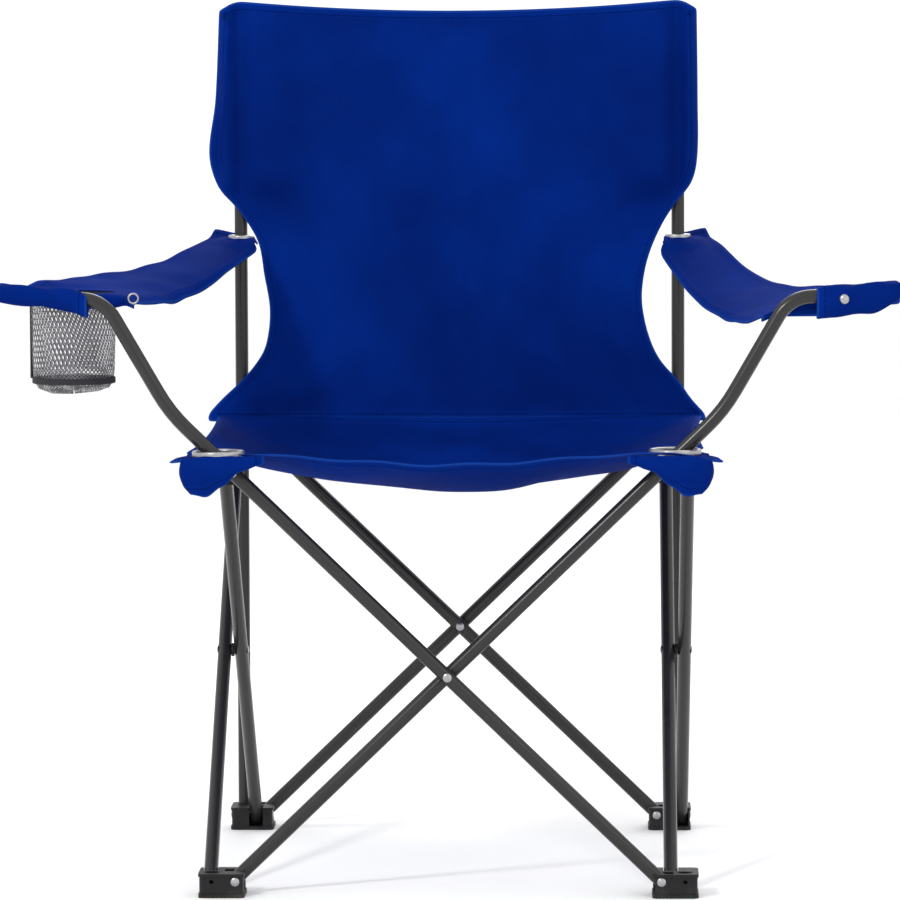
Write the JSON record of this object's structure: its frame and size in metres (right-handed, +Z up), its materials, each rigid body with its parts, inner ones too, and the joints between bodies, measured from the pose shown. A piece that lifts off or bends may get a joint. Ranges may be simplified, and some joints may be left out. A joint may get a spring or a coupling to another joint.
{
  "type": "folding camp chair",
  "caption": "Folding camp chair of crossed steel tubes with a blue cloth sling seat, back, arm straps and a net cup holder.",
  "frame": {"origin": "on the ground under the middle of the seat, midway between the four feet", "axes": "+X to the sitter's left as seen from the front (picture right), +Y to the back, +Z up"},
  "size_m": [0.8342, 0.498, 0.822],
  "materials": {
    "tube": "satin powder coat",
    "plastic": "moulded, fine grain",
    "zinc": "zinc plated",
    "cloth": "coated woven polyester",
    "net": "knitted mesh",
    "binding": "woven tape"
  },
  "bodies": {
    "rear_left_leg": {"foot_rear_left": "plastic", "foot_rivets_rear_left": "zinc", "left_post": "tube", "left_post_cap": "plastic", "left_post_screw": "zinc", "back": "cloth", "strap_eyelet_left": "zinc", "left_arm_strap": "cloth"},
    "left_inner": {"left_inner_tube": "tube", "left_cross_rivet": "zinc", "left_cross_washer": "plastic"},
    "left_outer": {"left_outer_tube": "tube"},
    "front_left_foot": {"foot_front_left": "plastic", "foot_rivets_front_left": "zinc"},
    "rear_left_sleeve": {"rear_left_sleeve": "plastic", "joint_rivets_rear_left": "zinc", "seat": "cloth"},
    "front_left_joint": {"front_left_joint": "plastic", "joint_rivets_front_left": "zinc", "seat_eyelet_left": "zinc", "seat_corner_left": "cloth"},
    "front_outer": {"front_outer_tube": "tube", "left_arm_plug": "plastic", "left_arm_pocket": "cloth", "cup_holder_net": "net", "cup_holder_rim": "binding", "front_cross_rivet": "zinc", "front_cross_washer": "plastic"},
    "front_inner": {"front_inner_tube": "tube", "right_arm_plug": "plastic", "right_arm_pocket": "cloth"},
    "front_right_joint": {"front_right_joint": "plastic", "joint_rivets_front_right": "zinc", "seat_eyelet_right": "zinc", "seat_corner_right": "cloth"},
    "rear_outer": {"rear_outer_tube": "tube"},
    "rear_inner": {"rear_inner_tube": "tube", "rear_cross_rivet": "zinc", "rear_cross_washer": "plastic"},
    "rear_right_leg": {"foot_rear_right": "plastic", "foot_rivets_rear_right": "zinc", "right_post": "tube", "right_post_cap": "plastic", "right_post_screw": "zinc", "strap_eyelet_right": "zinc", "right_arm_strap": "cloth"},
    "rear_right_sleeve": {"rear_right_sleeve": "plastic", "joint_rivets_rear_right": "zinc"},
    "right_outer": {"right_outer_tube": "tube"},
    "right_inner": {"right_inner_tube": "tube", "right_cross_rivet": "zinc", "right_cross_washer": "plastic"},
    "front_right_foot": {"foot_front_right": "plastic", "foot_rivets_front_right": "zinc"}
  },
  "joints": [
    {"name": "fold", "type": "hinge", "parent": "rear_left_leg", "child": "left_inner", "pos_m": [-0.2065, 0.1975, 0.015], "axis": [-1, 0, 0], "range_deg": [0, 40], "deforming": ["seat", "seat_corner_left", "seat_corner_right", "left_arm_strap", "right_arm_strap", "left_arm_pocket", "right_arm_pocket", "back", "cup_holder_net", "cup_holder_rim"]},
    {"name": "left_cross_pivot", "type": "hinge", "parent": "left_inner", "child": "left_outer", "pos_m": [-0.2145, 0, 0.205], "axis": [1, 0, 0], "range_deg": [0, 80]},
    {"name": "front_left_foot_pivot", "type": "hinge", "parent": "left_outer", "child": "front_left_foot", "pos_m": [-0.2225, -0.1975, 0.015], "axis": [-1, 0, 0], "range_deg": [0, 40]},
    {"name": "rear_left_sleeve_pivot", "type": "hinge", "parent": "left_outer", "child": "rear_left_sleeve", "pos_m": [-0.2225, 0.1975, 0.395], "axis": [-1, 0, 0], "range_deg": [0, 40]},
    {"name": "front_left_joint_pivot", "type": "hinge", "parent": "left_inner", "child": "front_left_joint", "pos_m": [-0.2065, -0.1975, 0.395], "axis": [1, 0, 0], "range_deg": [0, 40]},
    {"name": "rear_outer_foot_pivot", "type": "hinge", "parent": "rear_left_leg", "child": "rear_outer", "pos_m": [-0.1975, 0.2225, 0.015], "axis": [0, -1, 0], "range_deg": [0, 40]},
    {"name": "rear_cross_pivot", "type": "hinge", "parent": "rear_outer", "child": "rear_inner", "pos_m": [0, 0.2145, 0.205], "axis": [0, 1, 0], "range_deg": [0, 80]},
    {"name": "rear_right_foot_pivot", "type": "hinge", "parent": "rear_inner", "child": "rear_right_leg", "pos_m": [0.1975, 0.2065, 0.015], "axis": [0, -1, 0], "range_deg": [0, 40]},
    {"name": "rear_right_sleeve_pivot", "type": "hinge", "parent": "rear_outer", "child": "rear_right_sleeve", "pos_m": [0.1975, 0.2225, 0.395], "axis": [0, 1, 0], "range_deg": [0, 40]},
    {"name": "left_arm_pivot", "type": "hinge", "parent": "front_left_joint", "child": "front_outer", "pos_m": [-0.1975, -0.2225, 0.395], "axis": [0, 1, 0], "range_deg": [0, 40]},
    {"name": "front_inner_foot_pivot", "type": "hinge", "parent": "front_left_foot", "child": "front_inner", "pos_m": [-0.1975, -0.2065, 0.015], "axis": [0, -1, 0], "range_deg": [0, 40]},
    {"name": "front_right_joint_pivot", "type": "hinge", "parent": "front_inner", "child": "front_right_joint", "pos_m": [0.1975, -0.2065, 0.395], "axis": [0, 1, 0], "range_deg": [0, 40]},
    {"name": "right_outer_foot_pivot", "type": "hinge", "parent": "rear_right_leg", "child": "right_outer", "pos_m": [0.2225, 0.1975, 0.015], "axis": [-1, 0, 0], "range_deg": [0, 40]},
    {"name": "right_cross_pivot", "type": "hinge", "parent": "right_outer", "child": "right_inner", "pos_m": [0.2145, 0, 0.205], "axis": [1, 0, 0], "range_deg": [0, 80]},
    {"name": "front_right_foot_pivot", "type": "hinge", "parent": "right_inner", "child": "front_right_foot", "pos_m": [0.2065, -0.1975, 0.015], "axis": [-1, 0, 0], "range_deg": [0, 40]}
  ],
  "couplings": [
    {"joint": "left_cross_pivot", "follows": "fold", "ratio": 2},
    {"joint": "front_left_foot_pivot", "follows": "fold", "ratio": 1},
    {"joint": "rear_left_sleeve_pivot", "follows": "fold", "ratio": 1},
    {"joint": "front_left_joint_pivot", "follows": "fold", "ratio": 1},
    {"joint": "rear_outer_foot_pivot", "follows": "fold", "ratio": 1},
    {"joint": "rear_cross_pivot", "follows": "fold", "ratio": 2},
    {"joint": "rear_right_foot_pivot", "follows": "fold", "ratio": 1},
    {"joint": "rear_right_sleeve_pivot", "follows": "fold", "ratio": 1},
    {"joint": "left_arm_pivot", "follows": "fold", "ratio": 1},
    {"joint": "front_inner_foot_pivot", "follows": "fold", "ratio": 1},
    {"joint": "front_right_joint_pivot", "follows": "fold", "ratio": 1},
    {"joint": "right_outer_foot_pivot", "follows": "fold", "ratio": 1},
    {"joint": "right_cross_pivot", "follows": "fold", "ratio": 2},
    {"joint": "front_right_foot_pivot", "follows": "fold", "ratio": 1}
  ]
}
